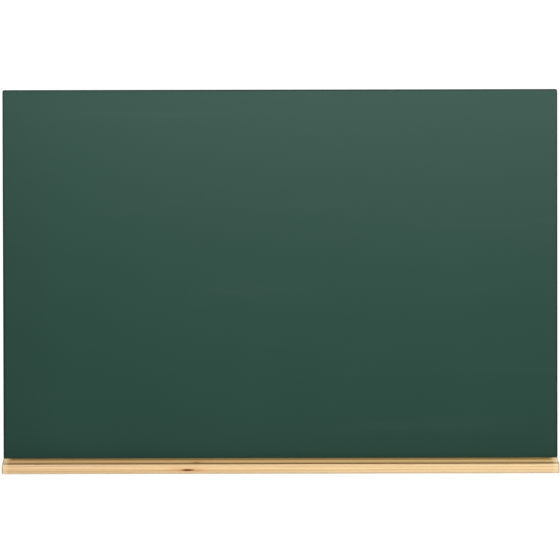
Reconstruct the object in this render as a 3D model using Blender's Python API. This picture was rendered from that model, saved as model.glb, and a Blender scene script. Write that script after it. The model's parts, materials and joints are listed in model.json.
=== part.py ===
"""A frameless wall chalkboard with a pine chalk ledge along its bottom edge.

Units are metres. The writing side faces -Y, +X runs to the right of someone facing it, and +Z is up. The
origin is the middle of the board's rear face, so the board fills y = -BOARD_DEPTH to 0 and the hanging
hardware stands behind it, at y above 0.
"""

import math

import bmesh
import bpy

# Driving dimensions of the board.
BOARD_WIDTH = 0.900
BOARD_HEIGHT = 0.598
BOARD_DEPTH = 0.018
CORNER_RADIUS = 0.003

# The clearance between neighbouring parts, and how far cutting shapes reach past what they cut.
GAP = 0.0003
CUT_MARGIN = 0.01

# The skins and the edge band.
BAND_THICKNESS = 0.0012
BAND_ARRIS = 0.0005
SHEET_THICKNESS = 0.003

# The core frame inside the board.
TOP_RAIL = 0.035
BOTTOM_RAIL = 0.050
STILE = 0.035
BATTEN = 0.030
BATTEN_SPACING = 0.300

# The chalk ledge: a moulding that runs under the board and stands out in front of it.
LEDGE_DEPTH = 0.048
LEDGE_HEIGHT = 0.0235
LEDGE_END_RADIUS = 0.0025

# The ledge's section ahead of the board's face and below its edge: a slope, a chalk groove and a lip.
SLOPE_END = 0.0195
SLOPE_DROP = 0.0056
SLOPE_POWER = 0.75
SLOPE_ROUND = 0.0015
GROOVE_BACK = 0.0200
GROOVE_FRONT = 0.0252
GROOVE_FLOOR = 0.0110
GROOVE_BACK_ROUND = 0.0021
GROOVE_FRONT_ROUND = 0.0018
LIP_DROP = 0.0078
LIP_BACK_ROUND = 0.0012
LIP_FRONT_ROUND = 0.0016
LOWER_ROUND = 0.0030

# The countersunk screws that hold the ledge up, and the depth of their counterbores.
LEDGE_SCREW_HEAD = 0.0035
LEDGE_SCREW_RIM = 0.0003
LEDGE_SCREW_CONE = 0.0026
LEDGE_SCREW_SHANK = 0.00175
LEDGE_SCREW_LENGTH = 0.038
LEDGE_SCREW_POINT = 0.004
LEDGE_SCREW_DEPTH = 0.0080
LEDGE_SCREW_COUNT = 5
LEDGE_SCREW_SPACING = 0.210
COUNTERBORE_RADIUS = 0.0043

# The pan-head screws of the hangers, and the cross recess in every screw's head.
HANGER_SCREW_HEAD = 0.0030
HANGER_SCREW_HEAD_HEIGHT = 0.0018
HANGER_SCREW_SHANK = 0.0015
HANGER_SCREW_LENGTH = 0.013
HANGER_SCREW_POINT = 0.003
BORE_START = 0.010
RECESS_ARM = 0.0019
RECESS_WIDTH = 0.0008
RECESS_DEPTH = 0.0012
RECESS_START = 0.001
RECESS_TAPER = 0.75

# The hangers: a steel strap curled into a knuckle, and a D-ring whose straight bar turns in it.
HANGER_X = 0.300
HANGER_Z = 0.238
STRAP_WIDTH = 0.012
STRAP_THICKNESS = 0.0012
STRAP_LENGTH = 0.0145
STRAP_SCREW_DROP = 0.0085
RING_WIRE = 0.0013
RING_CLEARANCE = 0.00035
RING_HALF_WIDTH = 0.0143
RING_CORNER = 0.003
RING_SIDE = 0.014
KNUCKLE_CURL = 280

# The wall bumpers.
BUMPER_X = 0.415
BUMPER_Z = -0.262
BUMPER_RADIUS = 0.0065
BUMPER_TOP_RADIUS = 0.0055
BUMPER_HEIGHT = 0.0065
BUMPER_EDGE = 0.0008

HALF_WIDTH = BOARD_WIDTH / 2
HALF_HEIGHT = BOARD_HEIGHT / 2
INSET = BAND_THICKNESS + GAP
CORE_FRONT = -BOARD_DEPTH + SHEET_THICKNESS + GAP
CORE_BACK = -SHEET_THICKNESS - GAP
MID_DEPTH = -BOARD_DEPTH / 2
KNUCKLE_INNER = RING_WIRE + RING_CLEARANCE
KNUCKLE_OUTER = KNUCKLE_INNER + STRAP_THICKNESS
KNUCKLE_Y = GAP + KNUCKLE_OUTER
STRAP_BACK = GAP + STRAP_THICKNESS

# Colours, as (red, green, blue), with roughness and metallic value.
CHALK_GREEN = ((0.036, 0.092, 0.072), 0.70, 0.0)
BAND_GREEN = ((0.024, 0.040, 0.031), 0.55, 0.0)
PINE = ((0.80, 0.58, 0.34), 0.55, 0.0)
CORE_PINE = ((0.72, 0.53, 0.33), 0.70, 0.0)
PLYWOOD = ((0.46, 0.29, 0.17), 0.70, 0.0)
HONEYCOMB = ((0.50, 0.37, 0.23), 0.85, 0.0)
STEEL = ((0.62, 0.61, 0.58), 0.35, 1.0)
RUBBER = ((0.025, 0.025, 0.026), 0.80, 0.0)


def clear_scene():
    for old in list(bpy.data.objects):
        bpy.data.objects.remove(old)


def material(name, look):
    colour, roughness, metallic = look
    made = bpy.data.materials.new(name)
    made.use_nodes = True
    shader = made.node_tree.nodes["Principled BSDF"]
    shader.inputs["Base Color"].default_value = (*colour, 1.0)
    shader.inputs["Roughness"].default_value = roughness
    shader.inputs["Metallic"].default_value = metallic
    return made


def add_object(name, mesh, look):
    """Links a mesh as a named sub-part with its own material."""
    piece = bpy.data.objects.new(name, mesh)
    bpy.context.scene.collection.objects.link(piece)
    if not mesh.materials:
        mesh.materials.append(material(name, look))
    return piece


def add_cutter(name, mesh):
    """Links a mesh that only cuts others, so it is never rendered."""
    cutter = bpy.data.objects.new(name, mesh)
    bpy.context.scene.collection.objects.link(cutter)
    cutter.hide_render = True
    cutter.display_type = "WIRE"
    return cutter


def finished_mesh(name, shape, smooth=False):
    """Turns a bmesh into a mesh whose faces point out, with round surfaces shaded smooth where asked."""
    bmesh.ops.recalc_face_normals(shape, faces=shape.faces)
    mesh = bpy.data.meshes.new(name)
    shape.to_mesh(mesh)
    shape.free()
    if smooth:
        mesh.shade_smooth()
        mesh.set_sharp_from_angle(angle=math.radians(35))
    return mesh


def extrusion(name, outline, start, end, place, smooth=False):
    """Extrudes an outline of (u, v) points from start to end; place(u, v, w) gives a corner's position."""
    shape = bmesh.new()
    bottom = shape.faces.new([shape.verts.new(place(u, v, start)) for u, v in outline])
    raised = bmesh.ops.extrude_face_region(shape, geom=[bottom])["geom"]
    step = [b - a for a, b in zip(place(0, 0, start), place(0, 0, end))]
    tops = [part for part in raised if isinstance(part, bmesh.types.BMVert)]
    bmesh.ops.translate(shape, vec=step, verts=tops)
    return finished_mesh(name, shape, smooth)


def along_x(u, v, w):
    return (w, u, v)


def along_y(u, v, w):
    return (u, w, v)


def along_z(u, v, w):
    return (u, v, w)


def box(name, low, high, look):
    shape = bmesh.new()
    bmesh.ops.create_cube(shape, size=1.0)
    for vert in shape.verts:
        vert.co = [
            low[axis] if vert.co[axis] < 0 else high[axis] for axis in range(3)
        ]
    return add_object(name, finished_mesh(name, shape), look)


def arc(centre, radius, start, end, steps):
    """Points of a circle's arc, from start to end in degrees, both included."""
    points = []
    for step in range(steps + 1):
        angle = math.radians(start + (end - start) * step / steps)
        points.append(
            (
                centre[0] + radius * math.cos(angle),
                centre[1] + radius * math.sin(angle),
            )
        )
    return points


def board_outline(low, high):
    """The board inside its edge band, between two heights, with upper corners round to fit the band."""
    side = HALF_WIDTH - INSET
    if high < HALF_HEIGHT - INSET:
        return [(side, low), (side, high), (-side, high), (-side, low)]
    radius = CORNER_RADIUS - INSET
    outline = [(side, low)]
    outline += arc((side - radius, high - radius), radius, 0, 90, 4)
    outline += arc((radius - side, high - radius), radius, 90, 180, 4)
    return outline + [(-side, low)]


def turned(shape, profile, segments):
    """Adds a solid turned about local Z from (radius, height) points that start and end on the axis."""
    rings = []
    for radius, height in profile:
        count = segments if radius > 0 else 1
        rings.append(
            [
                shape.verts.new(
                    (
                        radius * math.cos(2 * math.pi * step / count),
                        radius * math.sin(2 * math.pi * step / count),
                        height,
                    )
                )
                for step in range(count)
            ]
        )
    for lower, upper in zip(rings, rings[1:]):
        for step in range(segments):
            after = (step + 1) % segments
            corners = [
                lower[step % len(lower)],
                lower[after % len(lower)],
                upper[after % len(upper)],
                upper[step % len(upper)],
            ]
            shape.faces.new(list(dict.fromkeys(corners)))


def turned_mesh(name, profile, segments=20):
    shape = bmesh.new()
    turned(shape, profile, segments)
    return finished_mesh(name, shape, smooth=True)


def cross_outline(arm, width):
    half = width / 2
    quarter = [(arm, -half), (arm, half), (half, half)]
    outline = []
    for turn in range(4):
        for u, v in quarter:
            for _ in range(turn):
                u, v = -v, u
            outline.append((u, v))
    return outline


def subtract(piece, cutter):
    """Cuts a hole with the exact solver."""
    modifier = piece.modifiers.new("cut", "BOOLEAN")
    modifier.operation = "DIFFERENCE"
    modifier.solver = "EXACT"
    modifier.object = cutter


def intersect(piece, envelope):
    modifier = piece.modifiers.new("trim", "BOOLEAN")
    modifier.operation = "INTERSECT"
    modifier.solver = "EXACT"
    modifier.object = envelope


def make_sheets():
    """The writing sheet at the front and the plywood sheet at the back, both inside the edge band."""
    outline = board_outline(INSET - HALF_HEIGHT, HALF_HEIGHT - INSET)
    writing = extrusion(
        "writing_sheet",
        outline,
        -BOARD_DEPTH,
        -BOARD_DEPTH + SHEET_THICKNESS,
        along_y,
    )
    add_object("writing_sheet", writing, CHALK_GREEN)
    back = extrusion("back_sheet", outline, -SHEET_THICKNESS, 0, along_y)
    return add_object("back_sheet", back, PLYWOOD)


def top_band_outline():
    """The strip along the board's top, bent down round both corners."""
    x, z = HALF_WIDTH - CORNER_RADIUS, HALF_HEIGHT - CORNER_RADIUS
    inner = CORNER_RADIUS - BAND_THICKNESS
    outline = arc((x, z), CORNER_RADIUS, 0, 90, 4)
    outline += arc((-x, z), CORNER_RADIUS, 90, 180, 4)
    outline += arc((-x, z), inner, 180, 90, 4)
    outline += arc((x, z), inner, 90, 0, 4)
    return outline


def soften(piece, width):
    """Rounds a strip's long edges a little."""
    modifier = piece.modifiers.new("arris", "BEVEL")
    modifier.width = width
    modifier.segments = 2
    modifier.limit_method = "ANGLE"
    modifier.angle_limit = math.radians(60)


def make_bands():
    """Four strips round the board: the side ones stand on the bottom one and butt against the top one."""
    mesh = extrusion(
        "edge_band_top", top_band_outline(), -BOARD_DEPTH, 0, along_y, smooth=True
    )
    strips = [add_object("edge_band_top", mesh, BAND_GREEN)]
    low = -HALF_HEIGHT + BAND_THICKNESS + GAP
    high = HALF_HEIGHT - CORNER_RADIUS - GAP
    for name, side in (("edge_band_left", -1), ("edge_band_right", 1)):
        edges = sorted((side * HALF_WIDTH, side * (HALF_WIDTH - BAND_THICKNESS)))
        strip = box(name, (edges[0], -BOARD_DEPTH, low), (edges[1], 0, high), BAND_GREEN)
        strips.append(strip)
    bottom = box(
        "edge_band_bottom",
        (-HALF_WIDTH, -BOARD_DEPTH, -HALF_HEIGHT),
        (HALF_WIDTH, 0, -HALF_HEIGHT + BAND_THICKNESS),
        BAND_GREEN,
    )
    for strip in [*strips, bottom]:
        soften(strip, BAND_ARRIS)
    return bottom


def core_rail(name, low, high):
    mesh = extrusion(name, board_outline(low, high), CORE_FRONT, CORE_BACK, along_y)
    return add_object(name, mesh, CORE_PINE)


def make_core():
    """The pine frame and its battens, with a light infill slab in each bay."""
    side = HALF_WIDTH - INSET
    top = HALF_HEIGHT - INSET
    bay_top = top - TOP_RAIL - GAP
    bay_bottom = -top + BOTTOM_RAIL + GAP
    core_rail("core_top_rail", top - TOP_RAIL, top)
    bottom_rail = core_rail("core_bottom_rail", -top, -top + BOTTOM_RAIL)
    uprights = [
        ("core_left_stile", -side, -side + STILE),
        ("core_batten_left", -BATTEN_SPACING - BATTEN / 2, -BATTEN_SPACING + BATTEN / 2),
        ("core_batten_middle", -BATTEN / 2, BATTEN / 2),
        ("core_batten_right", BATTEN_SPACING - BATTEN / 2, BATTEN_SPACING + BATTEN / 2),
        ("core_right_stile", side - STILE, side),
    ]
    made = {}
    for name, low, high in uprights:
        made[name] = box(
            name,
            (low, CORE_FRONT, bay_bottom),
            (high, CORE_BACK, bay_top),
            CORE_PINE,
        )
    bays = zip(uprights, uprights[1:])
    for number, (left, right) in enumerate(bays, start=1):
        box(
            f"core_infill_{number}",
            (left[2] + GAP, CORE_FRONT, bay_bottom + GAP),
            (right[1] - GAP, CORE_BACK, bay_top - GAP),
            HONEYCOMB,
        )
    return bottom_rail, [made["core_batten_left"], made["core_batten_right"]]


def ledge_outline():
    """The ledge's section as (y, z) points, from distances ahead of and below the board's lower edge.

    The board stands on a flat bed. Ahead of the board's face the top falls away, steepest at the face, to
    a chalk groove behind the lip.
    """
    front = LEDGE_DEPTH - BOARD_DEPTH
    section = [(-BOARD_DEPTH, LEDGE_HEIGHT), (-BOARD_DEPTH, GAP)]
    steps = 8
    drop = SLOPE_DROP - GAP
    for step in range(steps):
        share = (step / steps) ** 2
        section.append((SLOPE_END * share, GAP + drop * share**SLOPE_POWER))
    fall = math.atan(SLOPE_POWER * drop / SLOPE_END)
    back, near = GROOVE_BACK_ROUND, GROOVE_FRONT_ROUND
    crest = (
        SLOPE_END - SLOPE_ROUND * math.sin(fall),
        SLOPE_DROP + SLOPE_ROUND * math.cos(fall),
    )
    section += arc(crest, SLOPE_ROUND, math.degrees(fall) - 90, 0, 4)
    section += arc((GROOVE_BACK + back, GROOVE_FLOOR - back), back, 180, 90, 4)
    section += arc((GROOVE_FRONT - near, GROOVE_FLOOR - near), near, 90, 0, 4)
    back, near = LIP_BACK_ROUND, LIP_FRONT_ROUND
    section += arc((GROOVE_FRONT + back, LIP_DROP + back), back, 180, 270, 4)
    section += arc((front - near, LIP_DROP + near), near, 270, 360, 4)
    low = (front - LOWER_ROUND, LEDGE_HEIGHT - LOWER_ROUND)
    section += arc(low, LOWER_ROUND, 0, 90, 5)
    return [(-BOARD_DEPTH - ahead, -HALF_HEIGHT - below) for ahead, below in section]


def make_ledge():
    """The pine moulding, its front corners rounded in plan and its lower corners in elevation."""
    radius = LEDGE_END_RADIUS
    margin = CUT_MARGIN
    reach = HALF_WIDTH + margin
    mesh = extrusion(
        "chalk_ledge", ledge_outline(), -reach, reach, along_x, smooth=True
    )
    ledge = add_object("chalk_ledge", mesh, PINE)
    front, back = -LEDGE_DEPTH, margin
    top, bottom = -HALF_HEIGHT + margin, -HALF_HEIGHT - LEDGE_HEIGHT
    right = HALF_WIDTH - radius
    plan = arc((right, front + radius), radius, -90, 0, 4)
    plan += [(HALF_WIDTH, back), (-HALF_WIDTH, back)]
    plan += arc((-right, front + radius), radius, 180, 270, 4)
    elevation = arc((right, bottom + radius), radius, -90, 0, 4)
    elevation += [(HALF_WIDTH, top), (-HALF_WIDTH, top)]
    elevation += arc((-right, bottom + radius), radius, 180, 270, 4)
    plan_envelope = extrusion(
        "ledge_plan", plan, bottom - margin, top, along_z, smooth=True
    )
    elevation_envelope = extrusion(
        "ledge_elevation", elevation, front - margin, back, along_y, smooth=True
    )
    intersect(ledge, add_cutter("ledge_plan", plan_envelope))
    intersect(ledge, add_cutter("ledge_elevation", elevation_envelope))
    return ledge


def ledge_screw_profile(grow, bore):
    """A countersunk screw pointing up from its head's face at height 0; grow widens it into its hole."""
    head = LEDGE_SCREW_HEAD + grow
    shank = LEDGE_SCREW_SHANK + grow
    if bore:
        profile = [
            (0, -2 * LEDGE_SCREW_DEPTH),
            (COUNTERBORE_RADIUS, -2 * LEDGE_SCREW_DEPTH),
            (COUNTERBORE_RADIUS, LEDGE_SCREW_RIM),
            (head, LEDGE_SCREW_RIM),
        ]
    else:
        profile = [(0, 0), (head, 0), (head, LEDGE_SCREW_RIM)]
    profile += [
        (shank, LEDGE_SCREW_CONE + grow),
        (shank, LEDGE_SCREW_LENGTH - LEDGE_SCREW_POINT + grow),
        (0, LEDGE_SCREW_LENGTH + grow),
    ]
    return profile


def make_ledge_screws(targets):
    """Screws up through the ledge and the lower edge band into the bottom rail, in counterbored holes."""
    head_z = -HALF_HEIGHT - LEDGE_HEIGHT + LEDGE_SCREW_DEPTH
    screw_mesh = turned_mesh("ledge_screw", ledge_screw_profile(0, False))
    holes = bmesh.new()
    crosses = bmesh.new()
    middle = (LEDGE_SCREW_COUNT - 1) / 2
    places = [
        (number - middle) * LEDGE_SCREW_SPACING for number in range(LEDGE_SCREW_COUNT)
    ]
    screws = []
    for number, x in enumerate(places, start=1):
        before = len(holes.verts)
        turned(holes, ledge_screw_profile(GAP, True), 20)
        holes.verts.ensure_lookup_table()
        bmesh.ops.translate(
            holes, vec=(x, MID_DEPTH, head_z), verts=holes.verts[before:]
        )
        add_cross(crosses, (x, MID_DEPTH, head_z), "up")
        screw = add_object(f"ledge_screw_{number}", screw_mesh, STEEL)
        screw.location = (x, MID_DEPTH, head_z)
        screws.append(screw)
    bores = add_cutter("ledge_screw_holes", finished_mesh("ledge_screw_holes", holes))
    recess = add_cutter("ledge_recesses", finished_mesh("ledge_recesses", crosses))
    for target in targets:
        subtract(target, bores)
    for screw in screws:
        subtract(screw, recess)


def add_cross(shape, place, facing):
    """Adds a cross-shaped cutter that enters a screw head at place, going up (facing "up") or forward."""
    outline = cross_outline(RECESS_ARM, RECESS_WIDTH)
    x, y, z = place
    corners = []
    for depth, shrink in ((-RECESS_START, 1.0), (RECESS_DEPTH, RECESS_TAPER)):
        ring = []
        for u, v in outline:
            if facing == "up":
                spot = (x + u * shrink, y + v * shrink, z + depth)
            else:
                spot = (x + u * shrink, y - depth, z + v * shrink)
            ring.append(shape.verts.new(spot))
        corners.append(ring)
    lower, upper = corners
    shape.faces.new(lower)
    shape.faces.new(upper)
    for step in range(len(outline)):
        after = (step + 1) % len(outline)
        shape.faces.new([lower[step], lower[after], upper[after], upper[step]])


def strap_outline():
    """The hanger strap's section as (y, z) points from the knuckle's centre: a curl, then a tab."""
    outer = arc((0, 0), KNUCKLE_OUTER, 180, 180 - KNUCKLE_CURL, 20)
    inner = arc((0, 0), KNUCKLE_INNER, 180 - KNUCKLE_CURL, 180, 20)
    tab = [(-KNUCKLE_INNER, -STRAP_LENGTH), (-KNUCKLE_OUTER, -STRAP_LENGTH)]
    return outer + inner + tab


def hanger_screw_profile(grow, bore):
    """A pan-head screw pointing forward along local +Z from the underside of its head, at height 0."""
    shank = HANGER_SCREW_SHANK + grow
    tip = [
        (shank, HANGER_SCREW_LENGTH - HANGER_SCREW_POINT + grow),
        (0, HANGER_SCREW_LENGTH + grow),
    ]
    if bore:
        return [(0, -BORE_START), (shank, -BORE_START)] + tip
    head, height = HANGER_SCREW_HEAD, HANGER_SCREW_HEAD_HEIGHT
    crown = [
        (0, -height),
        (head * 0.55, -height),
        (head * 0.85, -height * 0.75),
        (head, -height * 0.35),
        (head, 0),
        (shank, 0),
    ]
    return crown + tip


def ring_path():
    """The D-ring's centre line as (x, z) points from the middle of its straight bar."""
    half, corner = RING_HALF_WIDTH, RING_CORNER
    path = arc((half - corner, -corner), corner, 90, 0, 3)
    path += arc((0, -RING_SIDE), half, 0, -180, 16)
    path += arc((-half + corner, -corner), corner, 180, 90, 3)
    return path


def ring_mesh(name, sides=10):
    """A closed loop of round wire, swept along the ring's centre line in the plane y = 0."""
    path = ring_path()
    shape = bmesh.new()
    hoops = []
    for number, (x, z) in enumerate(path):
        before, after = path[number - 1], path[(number + 1) % len(path)]
        along = math.hypot(after[0] - before[0], after[1] - before[1])
        out = (
            -(after[1] - before[1]) / along,
            (after[0] - before[0]) / along,
        )
        hoop = []
        for side in range(sides):
            angle = 2 * math.pi * (side + 0.5) / sides
            across = RING_WIRE * math.cos(angle)
            deep = RING_WIRE * math.sin(angle)
            hoop.append(
                shape.verts.new((x + out[0] * across, deep, z + out[1] * across))
            )
        hoops.append(hoop)
    for number, hoop in enumerate(hoops):
        following = hoops[(number + 1) % len(hoops)]
        for side in range(sides):
            after = (side + 1) % sides
            shape.faces.new(
                [hoop[side], hoop[after], following[after], following[side]]
            )
    return finished_mesh(name, shape, smooth=True)


def make_hangers(back_sheet, battens):
    """A strap, its screw and a D-ring at each side of the board's back, near the top."""
    strap_mesh = extrusion(
        "hanger_strap",
        strap_outline(),
        -STRAP_WIDTH / 2,
        STRAP_WIDTH / 2,
        along_x,
        smooth=True,
    )
    screw_mesh = turned_mesh("hanger_screw", hanger_screw_profile(0, False), 16)
    ring = ring_mesh("hanger_ring")
    screw_z = HANGER_Z - STRAP_SCREW_DROP
    holes = bmesh.new()
    crosses = bmesh.new()
    screws, straps = [], []
    for name, x in (("left", -HANGER_X), ("right", HANGER_X)):
        strap = add_object(f"hanger_strap_{name}", strap_mesh, STEEL)
        strap.location = (x, KNUCKLE_Y, HANGER_Z)
        straps.append(strap)
        hook = add_object(f"hanger_ring_{name}", ring, STEEL)
        hook.location = (x, KNUCKLE_Y, HANGER_Z)
        place = (x, STRAP_BACK + GAP, screw_z)
        screw = add_object(f"hanger_screw_{name}", screw_mesh, STEEL)
        screw.location = place
        screw.rotation_euler = (math.radians(90), 0, 0)
        screws.append(screw)
        before = len(holes.verts)
        turned(holes, hanger_screw_profile(GAP, True), 16)
        holes.verts.ensure_lookup_table()
        fresh = holes.verts[before:]
        for vert in fresh:
            along = vert.co.z
            vert.co = (vert.co.x + place[0], place[1] - along, vert.co.y + place[2])
        add_cross(
            crosses,
            (x, place[1] + HANGER_SCREW_HEAD_HEIGHT, screw_z),
            "forward",
        )
    bores = add_cutter("hanger_screw_holes", finished_mesh("hanger_holes", holes))
    recess = add_cutter("hanger_recesses", finished_mesh("hanger_recesses", crosses))
    for target in [back_sheet, *battens, *straps]:
        subtract(target, bores)
    for screw in screws:
        subtract(screw, recess)


def make_bumpers():
    """Rubber buttons at the lower back corners, as tall as the hangers, that keep it off the wall."""
    base = BUMPER_RADIUS
    profile = [
        (0, GAP),
        (base, GAP),
        (base, GAP + BUMPER_EDGE),
        (BUMPER_TOP_RADIUS, BUMPER_HEIGHT - BUMPER_EDGE),
        (BUMPER_TOP_RADIUS - BUMPER_EDGE, BUMPER_HEIGHT),
        (0, BUMPER_HEIGHT),
    ]
    mesh = turned_mesh("wall_bumper", profile, 24)
    for name, x in (("left", -BUMPER_X), ("right", BUMPER_X)):
        bumper = add_object(f"wall_bumper_{name}", mesh, RUBBER)
        bumper.location = (x, 0, BUMPER_Z)
        bumper.rotation_euler = (math.radians(-90), 0, 0)


def build():
    clear_scene()
    back_sheet = make_sheets()
    bottom_band = make_bands()
    bottom_rail, hanger_battens = make_core()
    ledge = make_ledge()
    make_ledge_screws([ledge, bottom_band, bottom_rail])
    make_hangers(back_sheet, hanger_battens)
    make_bumpers()


build()
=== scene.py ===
import json
import math

import bmesh
import bpy
from mathutils import Matrix, Vector


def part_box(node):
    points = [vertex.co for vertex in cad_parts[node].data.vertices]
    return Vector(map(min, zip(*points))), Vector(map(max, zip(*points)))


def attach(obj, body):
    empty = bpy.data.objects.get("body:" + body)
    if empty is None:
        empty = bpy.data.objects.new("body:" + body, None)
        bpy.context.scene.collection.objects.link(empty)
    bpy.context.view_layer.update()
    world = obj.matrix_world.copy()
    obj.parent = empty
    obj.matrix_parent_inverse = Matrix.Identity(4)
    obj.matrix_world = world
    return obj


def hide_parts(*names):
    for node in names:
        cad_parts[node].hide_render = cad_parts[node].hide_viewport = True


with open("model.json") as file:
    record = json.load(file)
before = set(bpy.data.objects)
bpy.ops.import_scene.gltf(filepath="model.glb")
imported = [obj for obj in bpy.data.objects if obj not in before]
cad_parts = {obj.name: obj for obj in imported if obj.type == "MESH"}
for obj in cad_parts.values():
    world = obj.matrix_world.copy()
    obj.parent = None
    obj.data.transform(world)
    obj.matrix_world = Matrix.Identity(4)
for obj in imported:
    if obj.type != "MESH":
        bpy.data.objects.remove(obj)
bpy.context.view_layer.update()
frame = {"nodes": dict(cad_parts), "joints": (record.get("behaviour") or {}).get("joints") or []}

# The look of a frameless wall chalkboard with a pine chalk ledge. Units are metres: +X to the right of
# someone facing the writing side, which faces -Y, and +Z up. The pieces' places come from the packed
# nodes' boxes and joints.

NODES = frame["nodes"]

BOARD_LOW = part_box("writing_sheet")[0]
BOARD_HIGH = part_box("back_sheet")[1]
LEDGE_LOW, LEDGE_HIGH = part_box("chalk_ledge")
FRONT_Y = BOARD_LOW.y
BOARD_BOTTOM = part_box("edge_band_bottom")[0].z

# The ledge's section, as distances ahead of the writing face and below the board's lower edge, and the
# rounds and arrises of its ends.
LEDGE_REACH = FRONT_Y - LEDGE_LOW.y
LEDGE_HEIGHT = BOARD_BOTTOM - LEDGE_LOW.z
LEDGE_TOP = BOARD_BOTTOM - LEDGE_HIGH.z
SLOPE_END = 0.0195
SLOPE_DROP = 0.0056
SLOPE_POWER = 0.75
SLOPE_ROUND = 0.0015
SLOPE_STEPS = 16
GROOVE_BACK = 0.0200
GROOVE_FRONT = 0.0252
GROOVE_FLOOR = 0.0110
GROOVE_BACK_ROUND = 0.0021
GROOVE_FRONT_ROUND = 0.0018
LIP_DROP = 0.0078
LIP_BACK_ROUND = 0.0012
LIP_FRONT_ROUND = 0.0016
LOWER_ROUND = 0.0030
END_ROUND = 0.0025
END_ARRIS = 0.0004
LEDGE_BAYS = 24
ROUND_STEPS = 8
LARGE_ROUND_STEPS = 10
ARRIS_STEPS = 4

# Painted shade and highlights on the ledge, and a darker line along its front, each as the distances at
# which
# it is absent and full: ahead of the writing face, below the board's lower edge, in from the ledge's nearer
# end, or along it from the middle.
TOP_SHADE_AHEAD = (SLOPE_END + 0.0008, SLOPE_END)
TOP_SHADE_BELOW = (0.0090, 0.0070)
CREST_SHADE_AHEAD = (SLOPE_END - 0.0050, SLOPE_END - 0.0005)
JOINT_SHADE_AHEAD = (0.0115, 0.0045)
JOINT_SHADE_BELOW = (0.0080, 0.0060)
JOINT_SHADE_FROM_END = (0.002, 0.017)
GROOVE_SHADE_UPPER = (SLOPE_DROP, SLOPE_DROP + 0.0006)
GROOVE_SHADE_LOWER = (0.020, 0.016)
GROOVE_SHADE_FRONT = (GROOVE_FRONT + 0.0007, GROOVE_FRONT)
GROOVE_SHADE_BACK = (SLOPE_END - 0.0009, SLOPE_END - 0.0002)
LIP_SHADE_BELOW = (0.0112, 0.0092)
LIP_SHADE_AHEAD = (GROOVE_FRONT, GROOVE_FRONT + 0.001)
LINE_UPPER = (0.0163, 0.0176)
LINE_LOWER = (0.0202, 0.0186)
LINE_ALONG = (0.30, -0.05)
LOWER_ARRIS_SHADE_BELOW = (LEDGE_HEIGHT - 0.0044, LEDGE_HEIGHT - 0.0012)
END_HIGHLIGHT_FROM_END = (0.0150, 0.0080)
END_SHADE_FROM_END = (0.0020, 0.0009)

# Growth rings of the pine, and the ledge's knots.
GROWTH_RING = 0.0046
RING_LEAN = 0.45
RING_DRIFT = 0.012
KNOT_PUSH = 0.0006
LEDGE_KNOTS = (
    {
        "centre": -0.1496,
        "height": BOARD_BOTTOM - 0.0168,
        "half_length": 0.0110,
        "half_height": 0.0017,
        "strength": 1.0,
    },
    {
        "centre": -0.136,
        "height": BOARD_BOTTOM - 0.0054,
        "half_length": 0.0060,
        "half_height": 0.0011,
        "strength": 0.45,
    },
)

# Painted shade on the writing sheet: darker rims along its left, right and top edges, and a broader
# darkening near its left edge. For each, the distances from an edge at which it is absent and full, and how
# much it darkens. Those of the sides are full up to a height above the sheet's lower edge, and fade above
# it.
RIM = (0.0026, 0.0014)
LEFT_RIM_SHADE = 0.50
RIGHT_RIM_SHADE = 0.28
TOP_RIM_SHADE = 0.22
LEFT_SHADE = (0.10, 0.01)
LEFT_SHADE_DEPTH = 0.08
SHADE_FULL_HEIGHT = 0.3
SHADE_AT_TOP = 0.35

# Screws: heads, shanks, driver recesses and holes.
COUNTERBORE_RADIUS = 0.0043
SCREW_CLEARANCE = 0.0003
BORE_REACH = 0.004
CUT_MARGIN = 0.002
LEDGE_SCREW_NUMBERS = range(1, 6)
LEDGE_SCREW_HEAD = 0.0035
LEDGE_SCREW_RIM = 0.0003
LEDGE_SCREW_CONE = 0.0026
LEDGE_SCREW_SHANK = 0.00175
LEDGE_SCREW_NECK = 0.010
LEDGE_THREAD_START = 0.0105
PAN_HEAD_RADIUS = 0.0030
PAN_HEAD_HEIGHT = 0.0018
PAN_HEAD_ROUND = 0.0010
PAN_HEAD_STEPS = 6
PAN_SCREW_SHANK = 0.0015
PAN_SCREW_NECK = 0.0012
PAN_THREAD_START = 0.0016
HEAD_ARRIS = 0.0001
SMALLEST_RADIUS = 0.0002
RECESS_ARM = 0.0019
RECESS_WIDTH = 0.0008
RECESS_DEPTH = 0.0012
RECESS_START = 0.001
RECESS_MOUTH_SIZE = 1.15
RECESS_BOTTOM_SIZE = 0.70
SCREW_SEGMENTS = 32
HOLE_SEGMENTS = 48

# Threads and points, as shares of the shank's radius; the flank is a share of the pitch.
THREAD_PITCH = 1.05
THREAD_NECK = 0.85
THREAD_ROOT_DROP = 0.13
THREAD_DEPTH = 0.28
THREAD_FLANK = 0.33
POINT_LENGTH = 2.6
POINT_SIZE = 0.02
ROWS_PER_TURN = 8

# The hangers.
WIRE_RADIUS = 0.0013
WIRE_SIDES = 24
RING_HALF_WIDTH = 0.0143
RING_SIDE = 0.014
RING_CORNER = 0.003
BOW_STEPS = 56
STRAP_THICKNESS = 0.0012
KNUCKLE_CLEARANCE = 0.00035
KNUCKLE_CURL = 280
CURL_STEPS = 40
TAB_CORNER = 0.0032
STRAP_ARRIS = 0.0002
STRAP_ARRIS_STEPS = 3
HANGER_JOINTS = {
    joint["child"].removeprefix("ring_"): Vector(joint["pos_m"]) for joint in frame["joints"]
}

# The wall bumpers: rounds, how much narrower the top is than the foot, the angle of its side in degrees,
# and the dish in the top.
BUMPER_FOOT_ROUND = 0.0004
BUMPER_RIM_ROUND = 0.0009
BUMPER_TAPER = 0.0010
BUMPER_DRAFT = 10
BUMPER_SEGMENTS = 64
DISH_RIM = 0.0024
DISH_SIDE = 0.0005
DISH_EDGE_DEPTH = 0.0002
DISH_DEPTH = 0.0003

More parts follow.
